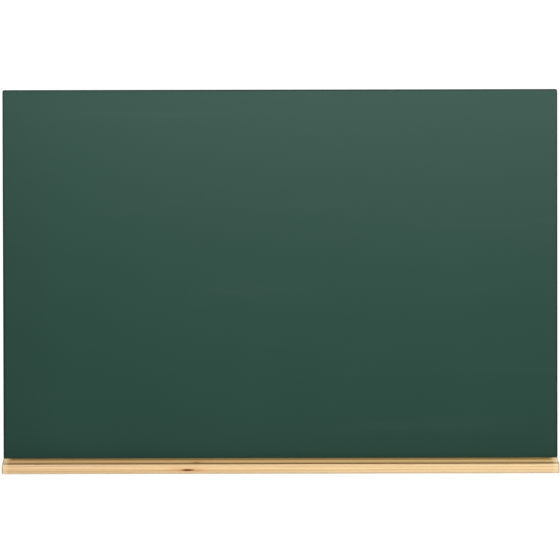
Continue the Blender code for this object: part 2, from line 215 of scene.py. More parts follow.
# The camera: its distance from the writing face, its height above and place beside the board's middle, its
# downward pitch and its roll. The picture spans FRAME_WIDTH_AT_BOARD at the writing face.
CAMERA_DISTANCE = 4.30
CAMERA_HEIGHT = 0.0440
CAMERA_SIDE = -0.0003
CAMERA_PITCH = math.radians(0.718)
CAMERA_ROLL = math.radians(-0.12)
CAMERA_CLIP = (0.05, 50.0)
SENSOR_WIDTH = 36.0
FRAME_WIDTH_AT_BOARD = 0.90885

# The studio.
BACKDROP_STRENGTH = 1.05
WORLD_LIGHT = 0.12
FLOOR_DROP = 0.70
FLOOR_RADIUS = 4.5
FLOOR_SEGMENTS = 96
FLOOR_GLOW = 0.45

SHARP_ANGLE = math.radians(38)
WELD_DISTANCE = 1e-6
MITRE_LIMIT = 0.3

# Which sockets of a Mix node take its two colours, and which gives their mix.
MIX_COLOURS = slice(6, 8)
MIX_RESULT = 2


def srgb(red, green, blue):
    """A colour given as 0 to 255 display values, turned into the linear values that shaders take."""
    linear = []
    for value in (red, green, blue):
        share = value / 255
        linear.append(share / 12.92 if share <= 0.04045 else ((share + 0.055) / 1.055) ** 2.4)
    return (*linear, 1.0)


# The colours that more than one look uses.
SAWN_PINE = srgb(232, 202, 154)
SAWN_PINE_LATE = srgb(196, 152, 104)


class Graph:
    """A short way to wire one material's nodes."""

    def __init__(self, name):
        self.material = bpy.data.materials.new(name)
        self.material.use_nodes = True
        self.tree = self.material.node_tree
        self.shader = self.tree.nodes["Principled BSDF"]

    def node(self, kind, **settings):
        made = self.tree.nodes.new(kind)
        for name, value in settings.items():
            setattr(made, name, value)
        return made

    def feed(self, socket, value):
        """Links an output into a socket, or sets the socket to a plain value."""
        if isinstance(value, bpy.types.NodeSocket):
            self.tree.links.new(value, socket)
        else:
            socket.default_value = value

    def place(self, scale=(1, 1, 1), turn=(0, 0, 0), shift=(0, 0, 0)):
        """The piece's own coordinates in metres, scaled, then turned, then shifted."""
        source = self.node("ShaderNodeTexCoord")
        mapping = self.node("ShaderNodeMapping")
        self.feed(mapping.inputs["Vector"], source.outputs["Object"])
        mapping.inputs["Location"].default_value = shift
        mapping.inputs["Rotation"].default_value = turn
        mapping.inputs["Scale"].default_value = scale
        return mapping.outputs["Vector"]

    def noise(self, vector, scale=1.0, detail=4.0, roughness=0.5, distortion=0.0):
        made = self.node("ShaderNodeTexNoise")
        self.feed(made.inputs["Vector"], vector)
        made.inputs["Scale"].default_value = scale
        made.inputs["Detail"].default_value = detail
        made.inputs["Roughness"].default_value = roughness
        made.inputs["Distortion"].default_value = distortion
        return made.outputs["Fac"]

    def cell_edges(self, vector, scale):
        """How far each point is from the nearest border between irregular cells."""
        made = self.node("ShaderNodeTexVoronoi", feature="DISTANCE_TO_EDGE")
        self.feed(made.inputs["Vector"], vector)
        made.inputs["Scale"].default_value = scale
        return made.outputs["Distance"]

    def math(self, operation, first, second=0.0, third=0.0):
        made = self.node("ShaderNodeMath", operation=operation)
        for socket, value in zip(made.inputs, (first, second, third)):
            self.feed(socket, value)
        return made.outputs[0]

    def product(self, *shares):
        total = shares[0]
        for share in shares[1:]:
            total = self.math("MULTIPLY", total, share)
        return total

    def fit(self, value, low, high, to_low=0.0, to_high=1.0):
        """Maps low..high to to_low..to_high, with both ends held and eased."""
        made = self.node("ShaderNodeMapRange", interpolation_type="SMOOTHSTEP")
        for socket, part in zip(made.inputs, (value, low, high, to_low, to_high)):
            self.feed(socket, part)
        return made.outputs[0]

    def ramp(self, value, *stops):
        made = self.node("ShaderNodeValToRGB")
        self.feed(made.inputs["Fac"], value)
        band = made.color_ramp
        while len(band.elements) < len(stops):
            band.elements.new(0.5)
        for element, (position, colour) in zip(band.elements, stops):
            element.position = position
            element.color = colour
        return made.outputs["Color"]

    def mix(self, share, first, second, blend="MIX"):
        made = self.node("ShaderNodeMix", data_type="RGBA", blend_type=blend)
        self.feed(made.inputs["Factor"], share)
        first_colour, second_colour = made.inputs[MIX_COLOURS]
        self.feed(first_colour, first)
        self.feed(second_colour, second)
        return made.outputs[MIX_RESULT]

    def shade(self, colour, tone):
        """A colour made lighter or darker all over by a tone around 1."""
        return self.mix(1.0, colour, self.join(tone, tone, tone), "MULTIPLY")

    def vary(self, base, value, amount):
        """A base moved up and down by a 0 to 1 value, by half the amount each way."""
        return self.math("MULTIPLY_ADD", self.math("SUBTRACT", value, 0.5), amount, base)

    def late_wood(self, rings, rise, fall):
        """The share of late wood, which comes in slowly across each growth ring and ends sharply."""
        across = self.math("FRACT", rings)
        return self.product(self.fit(across, *rise), self.fit(across, *fall))

    def parts(self, vector):
        made = self.node("ShaderNodeSeparateXYZ")
        self.feed(made.inputs[0], vector)
        return made.outputs

    def join(self, x, y, z):
        made = self.node("ShaderNodeCombineXYZ")
        for socket, value in zip(made.inputs, (x, y, z)):
            self.feed(socket, value)
        return made.outputs[0]

    def finish(self, colour, roughness, height=None, strength=0.2, distance=0.001, **fixed):
        """Feeds the shader; fixed names uniform sockets with spaces as underscores."""
        self.feed(self.shader.inputs["Base Color"], colour)
        self.feed(self.shader.inputs["Roughness"], roughness)
        if height is not None:
            bump = self.node("ShaderNodeBump")
            bump.inputs["Strength"].default_value = strength
            bump.inputs["Distance"].default_value = distance
            self.feed(bump.inputs["Height"], height)
            self.feed(self.shader.inputs["Normal"], bump.outputs["Normal"])
        for name, value in fixed.items():
            self.shader.inputs[name.replace("_", " ")].default_value = value
        return self.material


def chalk_coating():
    """Matt dark-green writing coat: roller stipple, wiping streaks, a trace of chalk, and painted shade at
    its rims.
    """
    g = Graph("chalk_coating")
    here = g.place()
    stipple = g.noise(here, scale=1400, detail=3, roughness=0.6)
    cloud = g.noise(here, scale=5.5, detail=5, roughness=0.55, distortion=0.4)
    strokes = g.place(scale=(1.6, 1, 34), turn=(0, math.radians(5), 0))
    wipes = g.noise(strokes, detail=5, roughness=0.6, distortion=0.8)
    tone = 1.0
    for value, amount in ((cloud, 0.08), (wipes, 0.03), (stipple, 0.05)):
        tone = g.vary(tone, value, amount)
    x, _, z = g.parts(here)
    low = g.fit(z, BOARD_HIGH.z, BOARD_LOW.z + SHADE_FULL_HEIGHT, SHADE_AT_TOP, 1.0)
    left = g.math("SUBTRACT", x, BOARD_LOW.x)
    right = g.math("SUBTRACT", BOARD_HIGH.x, x)
    top = g.math("SUBTRACT", BOARD_HIGH.z, z)
    # Painted shade: darker rims along the sides and top, and a broader darkening along the left edge.
    painted_shades = (
        g.product(g.fit(left, *RIM, 0.0, LEFT_RIM_SHADE), low),
        g.product(g.fit(right, *RIM, 0.0, RIGHT_RIM_SHADE), low),
        g.fit(top, *RIM, 0.0, TOP_RIM_SHADE),
        g.product(g.fit(left, *LEFT_SHADE, 0.0, LEFT_SHADE_DEPTH), low),
    )
    for share in painted_shades:
        tone = g.product(tone, g.math("SUBTRACT", 1.0, share))
    green = g.shade(srgb(22, 58, 48), tone)
    chalk = g.fit(wipes, 0.52, 0.80, 0.0, 0.006)
    colour = g.mix(chalk, green, srgb(205, 212, 206))
    roughness = g.math("MULTIPLY_ADD", cloud, 0.06, 0.33)
    return g.finish(
        colour, roughness, stipple, strength=0.10, distance=0.0004, Specular_IOR_Level=0.30
    )


def band_plastic(name, dark, light):
    """Green edge band with a fine grain and slightly rubbed arrises."""
    g = Graph(name)
    here = g.place()
    grain = g.noise(here, scale=900, detail=4, roughness=0.6)
    patches = g.noise(here, scale=14, detail=4, roughness=0.6)
    colour = g.mix(patches, dark, light)
    worn = g.node("ShaderNodeNewGeometry").outputs["Pointiness"]
    rub = g.math("MULTIPLY", g.fit(worn, 0.53, 0.60), 0.08)
    colour = g.mix(rub, colour, srgb(92, 108, 98))
    roughness = g.math("MULTIPLY_ADD", grain, 0.2, 0.50)
    return g.finish(
        colour, roughness, grain, strength=0.15, distance=0.0003, Specular_IOR_Level=0.25
    )


class Softwood:
    """Softwood with its grain along one axis; its growth rings run past the piece as waving sheets."""

    def __init__(self, name, along, light, dark, knots=()):
        self.graph = Graph(name)
        g = self.graph
        x, y, z = g.parts(g.place())
        self.length, self.deep, self.tall = {"X": (x, y, z), "Z": (z, y, x)}[along]
        slow = self.stretch(along=1.6, deep=12, tall=14)
        drift = g.math("SUBTRACT", g.noise(slow, detail=3), 0.5)
        depth = g.math("MULTIPLY_ADD", self.deep, RING_LEAN, self.tall)
        depth = g.math("MULTIPLY_ADD", drift, RING_DRIFT, depth)
        marks = []
        for knot in knots:
            core, halo, push = self.knot(**knot)
            marks.append((core, halo))
            depth = g.math("SUBTRACT", depth, push)
        rings = g.math("DIVIDE", depth, GROWTH_RING)
        self.late = g.late_wood(rings, rise=(0.35, 0.88), fall=(1.0, 0.90))
        self.fibre = g.noise(self.stretch(along=22, deep=1500, tall=1500), roughness=0.65)
        self.streak = g.noise(self.stretch(along=3.5, deep=260, tall=320), roughness=0.6)
        broad = g.noise(slow, scale=2.2, detail=3)
        share = g.product(self.late, g.fit(broad, 0.25, 0.75, 0.35, 1.0))
        tone = g.vary(1.0, self.fibre, 0.22)
        tone = g.vary(tone, self.streak, 0.24)
        canals = g.fit(g.noise(self.stretch(along=55, deep=2100, tall=2100), detail=2), 0.60, 0.70)
        tone = g.math("MULTIPLY_ADD", canals, -0.14, tone)
        self.colour = g.shade(g.mix(share, light, dark), tone)
        for core, halo in marks:
            self.cover(g.math("MULTIPLY", halo, 0.45), srgb(203, 140, 78))
            self.cover(core, srgb(90, 42, 6))

    def stretch(self, along, deep, tall):
        """The piece's coordinates with a scale for each of its length, depth and height."""
        g = self.graph
        parts = ((self.length, along), (self.deep, deep), (self.tall, tall))
        return g.join(*[g.math("MULTIPLY", part, scale) for part, scale in parts])

    def knot(self, centre, height, half_length, half_height, strength):
        """A knot's dark core, its warm halo, and how far it pushes the rings aside."""
        g = self.graph
        across = g.math("DIVIDE", g.math("SUBTRACT", self.length, centre), half_length)
        up = g.math("DIVIDE", g.math("SUBTRACT", self.tall, height), half_height)
        squares = g.math("ADD", g.math("POWER", across, 2.0), g.math("POWER", up, 2.0))
        rough_edge = g.noise(g.place(), scale=700, detail=3, roughness=0.6)
        away = g.math("MULTIPLY_ADD", rough_edge, 0.9, g.math("SQRT", squares))
        core = g.math("MULTIPLY", g.fit(away, 1.75, 0.9), strength)
        halo = g.math("MULTIPLY", g.fit(away, 4.6, 1.0), strength)
        return core, halo, g.product(halo, up, KNOT_PUSH)

    def tint(self, share, colour):
        self.colour = self.graph.mix(share, self.colour, colour, "MULTIPLY")

    def cover(self, share, colour):
        self.colour = self.graph.mix(share, self.colour, colour)

    def finish(self, roughness):
        g = self.graph
        rough = g.math("MULTIPLY_ADD", self.streak, 0.14, roughness - 0.07)
        height = g.math("MULTIPLY_ADD", self.late, 0.5, g.math("MULTIPLY", self.fibre, 0.6))
        return g.finish(
            self.colour, rough, height, strength=0.16, distance=0.0005, Specular_IOR_Level=0.32
        )


def ledge_pine():
    """The ledge's pine with knots and a darker line along its front.

    Painted shade at the joint, in the groove, on the top, lip and arrises, and towards the left end;
    painted highlights at the ends.
    """
    wood = Softwood("ledge_pine", "X", srgb(224, 195, 149), srgb(200, 164, 116), LEDGE_KNOTS)
    g = wood.graph
    ahead = g.math("SUBTRACT", FRONT_Y, wood.deep)
    below = g.math("SUBTRACT", BOARD_BOTTOM, wood.tall)
    from_end = g.math("SUBTRACT", LEDGE_HIGH.x, g.math("ABSOLUTE", wood.length))

    # Painted shade: darker and warmer towards the left end.
    left_end_shade = g.fit(wood.length, LEDGE_HIGH.x, -LEDGE_HIGH.x)
    wood.tint(left_end_shade, srgb(249, 243, 242))
    # Painted shade: the sloping top, darker than the front.
    top = g.product(g.fit(ahead, *TOP_SHADE_AHEAD), g.fit(below, *TOP_SHADE_BELOW))
    wood.tint(top, srgb(226, 218, 196))
    # Painted shadow: the end of the slope, darker where it falls towards the groove.
    crest = g.product(top, g.fit(ahead, *CREST_SHADE_AHEAD))
    wood.tint(crest, srgb(208, 200, 186))
    # Painted shade: darker along the joint under the board, fading out near the ends.
    joint = g.product(
        g.fit(ahead, *JOINT_SHADE_AHEAD), g.fit(below, *JOINT_SHADE_BELOW), g.fit(from_end, *JOINT_SHADE_FROM_END)
    )
    wood.tint(joint, srgb(164, 166, 150))
    # Painted shade: darker in the groove behind the lip.
    groove_shade = g.product(
        g.fit(below, *GROOVE_SHADE_UPPER),
        g.fit(below, *GROOVE_SHADE_LOWER),
        g.fit(ahead, *GROOVE_SHADE_FRONT),
        g.fit(ahead, *GROOVE_SHADE_BACK),
    )
    wood.tint(groove_shade, srgb(150, 142, 114))
    # Painted shade: the top of the lip, a little darker than its front.
    lip = g.product(g.fit(below, *LIP_SHADE_BELOW), g.fit(ahead, *LIP_SHADE_AHEAD))
    wood.tint(lip, srgb(238, 238, 238))
    line = g.product(
        g.fit(below, *LINE_UPPER), g.fit(below, *LINE_LOWER), g.fit(wood.length, *LINE_ALONG)
    )
    wood.tint(line, srgb(232, 227, 219))
    # Painted shade: the lower arris of the front, darker and greyer where it turns down.
    edge = g.math("MULTIPLY", g.fit(below, *LOWER_ARRIS_SHADE_BELOW), 0.6)
    wood.cover(edge, srgb(192, 176, 150))
    # Painted highlight: paler zones at the rounded ends.
    ragged = g.math("MULTIPLY_ADD", wood.streak, 0.006, from_end)
    pale = g.math("MULTIPLY", g.fit(ragged, *END_HIGHLIGHT_FROM_END), 0.34)
    wood.cover(pale, srgb(230, 214, 180))
    # Painted shade: dark outlines at the very ends, where the arrises turn away from the light.
    outline = g.math("MULTIPLY", g.fit(from_end, *END_SHADE_FROM_END), 0.75)
    wood.cover(outline, srgb(134, 114, 76))
    return wood.finish(0.50)


def plywood():
    """Rotary-cut tropical plywood: nested contours on a pinkish brown, with dark pores along the grain."""
    g = Graph("back_veneer")
    broad_field = g.place(scale=(1.1, 1, 4.2), shift=(3.1, 0, 7.4))
    field = g.noise(broad_field, detail=2, roughness=0.45, distortion=0.25)
    fine = g.noise(g.place(scale=(2.2, 30, 46)), roughness=0.6)
    rings = g.math("MULTIPLY_ADD", fine, 0.5, g.math("MULTIPLY", field, 13))
    late = g.late_wood(rings, rise=(0.15, 0.85), fall=(1.0, 0.88))
    broad = g.noise(g.place(scale=(1.2, 5, 3.4)), roughness=0.55, distortion=0.6)
    grain = g.noise(g.place(scale=(9, 60, 260)), detail=5, roughness=0.65)
    pores = g.noise(g.place(scale=(38, 900, 900)), detail=2)
    ground = g.ramp(
        broad, (0.25, srgb(168, 126, 90)), (0.5, srgb(190, 148, 109)), (0.8, srgb(204, 165, 126))
    )
    colour = g.mix(g.math("MULTIPLY", late, 0.5), ground, srgb(150, 104, 70))
    colour = g.shade(colour, g.vary(1.0, grain, 0.36))
    pore = g.math("MULTIPLY", g.fit(pores, 0.58, 0.68), 0.5)
    colour = g.mix(pore, colour, srgb(92, 60, 40))
    height = g.math("SUBTRACT", g.math("MULTIPLY", grain, 0.5), pore)
    roughness = g.math("MULTIPLY_ADD", grain, 0.12, 0.62)
    return g.finish(colour, roughness, height, strength=0.22, distance=0.0004)


def zinc():
    """Bright zinc-plated steel, faintly yellow, with fine drawing marks and dull patches."""
    g = Graph("zinc_plate")
    patches = g.noise(g.place(), scale=160, roughness=0.6)
    marks = g.noise(g.place(scale=(300, 2500, 2500)), detail=3, roughness=0.6)
    colour = g.mix(patches, srgb(196, 192, 178), srgb(222, 221, 214))
    roughness = g.math("MULTIPLY_ADD", marks, 0.18, 0.22)
    return g.finish(colour, roughness, marks, strength=0.08, distance=0.0002, Metallic=1.0)


def rubber():
    """Black moulded rubber, slightly dusty."""
    g = Graph("black_rubber")
    grain = g.noise(g.place(), scale=1300, roughness=0.6)
    dust = g.noise(g.place(), scale=220, roughness=0.6)
    colour = g.mix(g.fit(dust, 0.5, 0.8, 0.0, 0.25), srgb(30, 30, 31), srgb(86, 84, 80))
    roughness = g.math("MULTIPLY_ADD", dust, 0.15, 0.62)
    return g.finish(colour, roughness, grain, strength=0.2, distance=0.0003)


def honeycomb():
    """Brown paper honeycomb: the cut edges of its cells over shallow shadowed hollows."""
    g = Graph("paper_honeycomb")
    edges = g.cell_edges(g.place(scale=(1, 0.02, 1)), scale=62)
    wall = g.fit(edges, 0.10, 0.04)
    fibres = g.noise(g.place(), scale=420, roughness=0.6)
    colour = g.mix(wall, srgb(122, 92, 60), srgb(178, 143, 102))
    colour = g.shade(colour, g.vary(1.0, fibres, 0.25))
    return g.finish(colour, 0.85, wall, strength=0.5, distance=0.001)


def dress(piece, look):
    """Gives every slot of a piece one material."""
    slots = piece.data.materials
    if not slots:
        slots.append(look)
    for number in range(len(slots)):
        slots[number] = look


def arc(centre, radius, start, end, steps):
    """Points of a circle's arc from start to end in degrees, both included."""
    points = []
    for step in range(steps + 1):
        angle = math.radians(start + (end - start) * step / steps)
        points.append((centre[0] + radius * math.cos(angle), centre[1] + radius * math.sin(angle)))
    return points


def skin(rings, loop=False):
    """A bmesh skinned over rings of equally many points, with the end rings filled unless it is a loop."""
    shape = bmesh.new()
    hoops = [[shape.verts.new(point) for point in ring] for ring in rings]
    pairs = list(zip(hoops, hoops[1:]))
    if loop:
        pairs.append((hoops[-1], hoops[0]))
    else:
        shape.faces.new(hoops[0])
        shape.faces.new(hoops[-1])
    for before, after in pairs:
        for number in range(len(before)):
            following = (number + 1) % len(before)
            shape.faces.new([before[number], before[following], after[following], after[number]])
    return shape


def plain_mesh(name, shape):
    """Turns a bmesh into a mesh with its doubled points welded and its faces pointing out."""
    bmesh.ops.remove_doubles(shape, verts=shape.verts, dist=WELD_DISTANCE)
    bmesh.ops.recalc_face_normals(shape, faces=shape.faces)
    mesh = bpy.data.meshes.new(name)
    shape.to_mesh(mesh)
    shape.free()
    return mesh


def carve(mesh, cutter_shape):
    """A mesh with a cutter's shape taken out of it."""
    pair = []
    for part in (mesh, plain_mesh("cutter", cutter_shape)):
        made = bpy.data.objects.new(part.name, part)
        bpy.context.scene.collection.objects.link(made)
        pair.append(made)
    piece, cutter = pair
    modifier = piece.modifiers.new("cut", "BOOLEAN")
    modifier.operation = "DIFFERENCE"
    modifier.solver = "EXACT"
    modifier.object = cutter
    seen = piece.evaluated_get(bpy.context.evaluated_depsgraph_get())
    carved = bpy.data.meshes.new_from_object(seen)
    bpy.data.objects.remove(piece)
    bpy.data.objects.remove(cutter)
    return carved


def add_piece(name, mesh, look, body, replaced):
    """Links a mesh as a smooth-shaded piece that rides on a body and stands for a CAD node."""
    mesh.shade_smooth()
    mesh.set_sharp_from_angle(angle=SHARP_ANGLE)
    piece = bpy.data.objects.new(name, mesh)
    bpy.context.scene.collection.objects.link(piece)
    dress(piece, look)
    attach(piece, body)
    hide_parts(replaced)


def placed(mesh, name, place):
    """A copy of a mesh, moved to its place."""
    copy = mesh.copy()
    copy.name = name
    copy.transform(place)
    return copy


def box_middle(low, high):
    return (low + high) / 2


def rounded_inset(from_end, radius):
    """How far a rounded corner of this radius has pulled in at a distance from the end."""
    if from_end >= radius:
        return 0.0
    return radius - math.sqrt(radius**2 - (radius - from_end) ** 2)


def end_distances(radius, steps):
    """Distances from an end, largest first, that step evenly round a corner of this radius."""
    return [radius * (1 - math.sin(math.pi / 2 * step / steps)) for step in range(steps + 1)]


def inset(outline, distance):
    """An outline's points, each moved inward by a distance."""
    pairs = zip(outline, outline[1:] + outline[:1])
    area = sum(a[0] * b[1] - a[1] * b[0] for a, b in pairs)
    distance = math.copysign(distance, area)
    moved = []
    for number, point in enumerate(outline):
        before = Vector(outline[number - 1])
        after = Vector(outline[(number + 1) % len(outline)])
        here = Vector(point)
        into = (here - before).normalized()
        out_of = (after - here).normalized()
        normals = [Vector((-part.y, part.x)) for part in (into, out_of)]
        bisector = (normals[0] + normals[1]).normalized()
        moved.append(here + bisector * (distance / max(MITRE_LIMIT, bisector.dot(normals[0]))))
    return [(point.x, point.y) for point in moved]


def ledge_section():
    """The ledge's outline as (ahead, below) distances, with finely stepped rounds."""
    depth = FRONT_Y - BOARD_HIGH.y
    section = [(depth, LEDGE_HEIGHT), (depth, LEDGE_TOP)]
    drop = SLOPE_DROP - LEDGE_TOP
    for step in range(SLOPE_STEPS):
        share = (step / SLOPE_STEPS) ** 2
        section.append((SLOPE_END * share, LEDGE_TOP + drop * share**SLOPE_POWER))
    fall = math.atan(SLOPE_POWER * drop / SLOPE_END)
    crest = (SLOPE_END - SLOPE_ROUND * math.sin(fall), SLOPE_DROP + SLOPE_ROUND * math.cos(fall))
    section += arc(crest, SLOPE_ROUND, math.degrees(fall) - 90, 0, ROUND_STEPS)
    back, front = GROOVE_BACK_ROUND, GROOVE_FRONT_ROUND
    section += arc((GROOVE_BACK + back, GROOVE_FLOOR - back), back, 180, 90, ROUND_STEPS)
    section += arc((GROOVE_FRONT - front, GROOVE_FLOOR - front), front, 90, 0, ROUND_STEPS)
    back, front = LIP_BACK_ROUND, LIP_FRONT_ROUND
    section += arc((GROOVE_FRONT + back, LIP_DROP + back), back, 180, 270, ROUND_STEPS)
    section += arc((LEDGE_REACH - front, LIP_DROP + front), front, 270, 360, ROUND_STEPS)
    low = (LEDGE_REACH - LOWER_ROUND, LEDGE_HEIGHT - LOWER_ROUND)
    section += arc(low, LOWER_ROUND, 0, 90, LARGE_ROUND_STEPS)
    return section


def make_ledge(look):
    """The pine moulding: one section lofted along X, with rounded, eased ends and holes for its screws."""
    section = ledge_section()
    half = LEDGE_HIGH.x
    distances = [d for d in end_distances(END_ROUND, LARGE_ROUND_STEPS) if d > END_ARRIS]
    distances += end_distances(END_ARRIS, ARRIS_STEPS)
    inner = half - END_ROUND
    line = [(-half + d, d) for d in reversed(distances)]
    line += [(inner * (2 * bay / LEDGE_BAYS - 1), END_ROUND) for bay in range(1, LEDGE_BAYS)]
    line += [(half - d, d) for d in distances]
    rings = []
    for x, from_end in line:
        reach = LEDGE_REACH - rounded_inset(from_end, END_ROUND)
        bottom = LEDGE_HEIGHT - rounded_inset(from_end, END_ROUND)
        eased = inset(section, rounded_inset(from_end, END_ARRIS))
        ring = [
            (x, FRONT_Y - min(ahead, reach), BOARD_BOTTOM - min(below, bottom))
            for ahead, below in eased
        ]
        rings.append(ring)
    mesh = plain_mesh("ledge_moulding", skin(rings))
    for number in LEDGE_SCREW_NUMBERS:
        mesh = carve(mesh, ledge_screw_hole(*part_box(f"ledge_screw_{number}")))
    add_piece("ledge_moulding", mesh, look, "board", "chalk_ledge")


def hoop(centre, radius, segments=HOLE_SEGMENTS, ridge=None):
    """A level ring of points; ridge gives a height added to the radius at each turn from 0 to 1."""
    points = []
    for step in range(segments):
        turn = step / segments
        reach = radius + (ridge(turn) if ridge else 0.0)
        angle = 2 * math.pi * turn
        across, aside = reach * math.cos(angle), reach * math.sin(angle)
        points.append((centre[0] + across, centre[1] + aside, centre[2]))
    return points


def ledge_screw_hole(low, high):
    """A counterbored hole around a ledge screw's box, from below the ledge to above it."""
    middle = box_middle(low, high)
    head = (high.x - low.x) / 2 + SCREW_CLEARANCE
    seat = low.z + SCREW_CLEARANCE
    shank = LEDGE_SCREW_SHANK + SCREW_CLEARANCE
    profile = (
        (COUNTERBORE_RADIUS, LEDGE_LOW.z - CUT_MARGIN),
        (COUNTERBORE_RADIUS, seat),
        (head, seat),
        (shank, low.z + LEDGE_SCREW_CONE + SCREW_CLEARANCE),
        (shank, LEDGE_HIGH.z + CUT_MARGIN),
    )
    return skin([hoop((middle.x, middle.y, height), radius) for radius, height in profile])


def cross_recess(face):
    """A tapering cross that cuts a driver's recess into a screw head whose face is at this height."""
    ends = ((face - RECESS_START, RECESS_MOUTH_SIZE), (face + RECESS_DEPTH, RECESS_BOTTOM_SIZE))
    half = RECESS_WIDTH / 2
    rings = []
    for height, size in ends:
        arm = RECESS_ARM * size
        ring = []
        for turn in range(4):
            spin = Matrix.Rotation(turn * math.pi / 2, 3, "Z")
            for corner in ((arm, -half), (arm, half), (half, half)):
                ring.append(spin @ Vector((*corner, height)))
        rings.append(ring)
    return skin(rings)


def thread(height, pitch, depth):
    """The height of a helical ridge at each turn, at one height along a screw."""

    def ridge(turn):
        phase = (height / pitch - turn) % 1.0
        return depth * max(0.0, 1.0 - abs(phase - 0.5) / THREAD_FLANK)

    return ridge


def screw_mesh(name, head, shank, length, thread_start):
    """A screw pointing along +Z: a turned head, a plain neck, a helical thread and a point."""
    rings = [hoop((0, 0, height), radius, SCREW_SEGMENTS) for radius, height in head]
    rings.append(hoop((0, 0, thread_start), shank * THREAD_NECK, SCREW_SEGMENTS))
    pitch = shank * THREAD_PITCH
    rows = round((length - thread_start) / pitch * ROWS_PER_TURN)
    for row in range(1, rows + 1):
        height = thread_start + (length - thread_start) * row / rows
        taper = min(1.0, POINT_SIZE + (length - height) / (POINT_LENGTH * shank))
        start = min(1.0, (height - thread_start) / pitch)
        root = shank * (THREAD_NECK - THREAD_ROOT_DROP * start) * taper
        ridge = thread(height, pitch, shank * THREAD_DEPTH * taper * start)
        rings.append(hoop((0, 0, height), root, SCREW_SEGMENTS, ridge))
    mesh = plain_mesh(name, skin(rings))
    return carve(mesh, cross_recess(head[0][1]))


def make_ledge_screws(look):
    """The countersunk screws that hold the ledge up, pointing up in their counterbores."""
    head = [
        (LEDGE_SCREW_HEAD - 2 * HEAD_ARRIS, 0.0),
        (LEDGE_SCREW_HEAD, HEAD_ARRIS),
        (LEDGE_SCREW_HEAD, LEDGE_SCREW_RIM),
        (LEDGE_SCREW_SHANK, LEDGE_SCREW_CONE),
        (LEDGE_SCREW_SHANK, LEDGE_SCREW_NECK),
    ]
    low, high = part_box("ledge_screw_1")
    length = high.z - low.z
    mesh = screw_mesh("countersunk_screw", head, LEDGE_SCREW_SHANK, length, LEDGE_THREAD_START)
    for number in LEDGE_SCREW_NUMBERS:
        node = f"ledge_screw_{number}"
        low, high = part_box(node)
        middle = box_middle(low, high)
        place = Matrix.Translation((middle.x, middle.y, low.z))
        name = f"countersunk_screw_{number}"
        add_piece(name, placed(mesh, name, place), look, "board", node)


def strap_rings():
    """The hanger strap from side to side: a tab with round lower corners, curled round the ring's bar."""
    low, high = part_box("hanger_strap_left")
    length = HANGER_JOINTS["left"].z - low.z
    half = (high.x - low.x) / 2
    inner = WIRE_RADIUS + KNUCKLE_CLEARANCE
    outer = inner + STRAP_THICKNESS
    curl = arc((0, 0), outer, 180, 180 - KNUCKLE_CURL, CURL_STEPS)
    curl += arc((0, 0), inner, 180 - KNUCKLE_CURL, 180, CURL_STEPS)
    distances = [d for d in end_distances(TAB_CORNER, ROUND_STEPS) if d > STRAP_ARRIS]
    distances += end_distances(STRAP_ARRIS, STRAP_ARRIS_STEPS)
    line = [(-half + d, d) for d in reversed(distances)] + [(half - d, d) for d in distances]
    rings = []
    for x, from_end in line:
        foot = rounded_inset(from_end, TAB_CORNER) - length
        outline = curl + [(-inner, foot), (-outer, foot)]
        eased = inset(outline, rounded_inset(from_end, STRAP_ARRIS))
        rings.append([(x, y, z) for y, z in eased])
    return rings


def ring_hoops():
    """Sections of the D-ring's wire, in order along its centre line in the plane y = 0."""
    half, corner = RING_HALF_WIDTH, RING_CORNER
    path = arc((half - corner, -corner), corner, 90, 0, LARGE_ROUND_STEPS)
    path += arc((0, -RING_SIDE), half, 0, -180, BOW_STEPS)
    path += arc((-half + corner, -corner), corner, 180, 90, LARGE_ROUND_STEPS)
    section = arc((0, 0), WIRE_RADIUS, 0, 360 - 360 / WIRE_SIDES, WIRE_SIDES - 1)
    hoops = []
    for number, (x, z) in enumerate(path):
        before, after = path[number - 1], path[(number + 1) % len(path)]
        along = Vector((after[0] - before[0], 0, after[1] - before[1])).normalized()
        out = Vector((-along.z, 0, along.x))
        centre = Vector((x, 0, z))
        hoops.append([centre + out * across + Vector((0, deep, 0)) for across, deep in section])
    return hoops


def pan_head():
    """The pan head and neck of a hanger screw, as (radius, height) points from the middle of its face."""
    corner = (PAN_HEAD_RADIUS - PAN_HEAD_ROUND, PAN_HEAD_ROUND - PAN_HEAD_HEIGHT)
    return [
        (SMALLEST_RADIUS, -PAN_HEAD_HEIGHT),
        *arc(corner, PAN_HEAD_ROUND, -90, 0, PAN_HEAD_STEPS),
        (PAN_HEAD_RADIUS, -HEAD_ARRIS),
        (PAN_HEAD_RADIUS - HEAD_ARRIS, 0.0),
        (PAN_SCREW_SHANK, 0.0),
        (PAN_SCREW_SHANK, PAN_SCREW_NECK),
    ]


